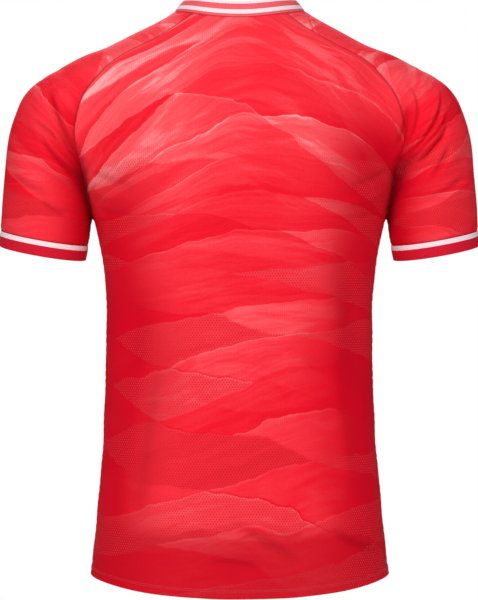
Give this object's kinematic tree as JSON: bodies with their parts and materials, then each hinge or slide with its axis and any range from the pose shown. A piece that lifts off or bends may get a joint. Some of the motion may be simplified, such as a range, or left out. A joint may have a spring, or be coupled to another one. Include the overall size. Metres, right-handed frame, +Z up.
{
  "type": "football jersey",
  "caption": "Short-sleeved crew-neck football jersey with raglan sleeves, ribbed collar and cuffs, hollow as if worn.",
  "frame": {"origin": "middle of the neck base, level with the points where the collar meets the shoulders, where the wearer's shoulders carry the jersey", "axes": "+Z up from the hem towards the collar, +Y out of the jersey's back, -Y out of its front, +X towards the wearer's left sleeve"},
  "size_m": [0.6068, 0.246, 0.743],
  "materials": {
    "body_knit": "matt polyester jacquard knit",
    "collar_rib": "matt flat rib with white stripes",
    "cuff_rib": "matt flat rib with a white stripe"
  },
  "bodies": {
    "root": {"back_panel": "body_knit", "front_panel": "body_knit", "sleeve_left": "body_knit", "sleeve_right": "body_knit", "collar": "collar_rib", "cuff_left": "cuff_rib", "cuff_right": "cuff_rib"}
  },
  "joints": []
}
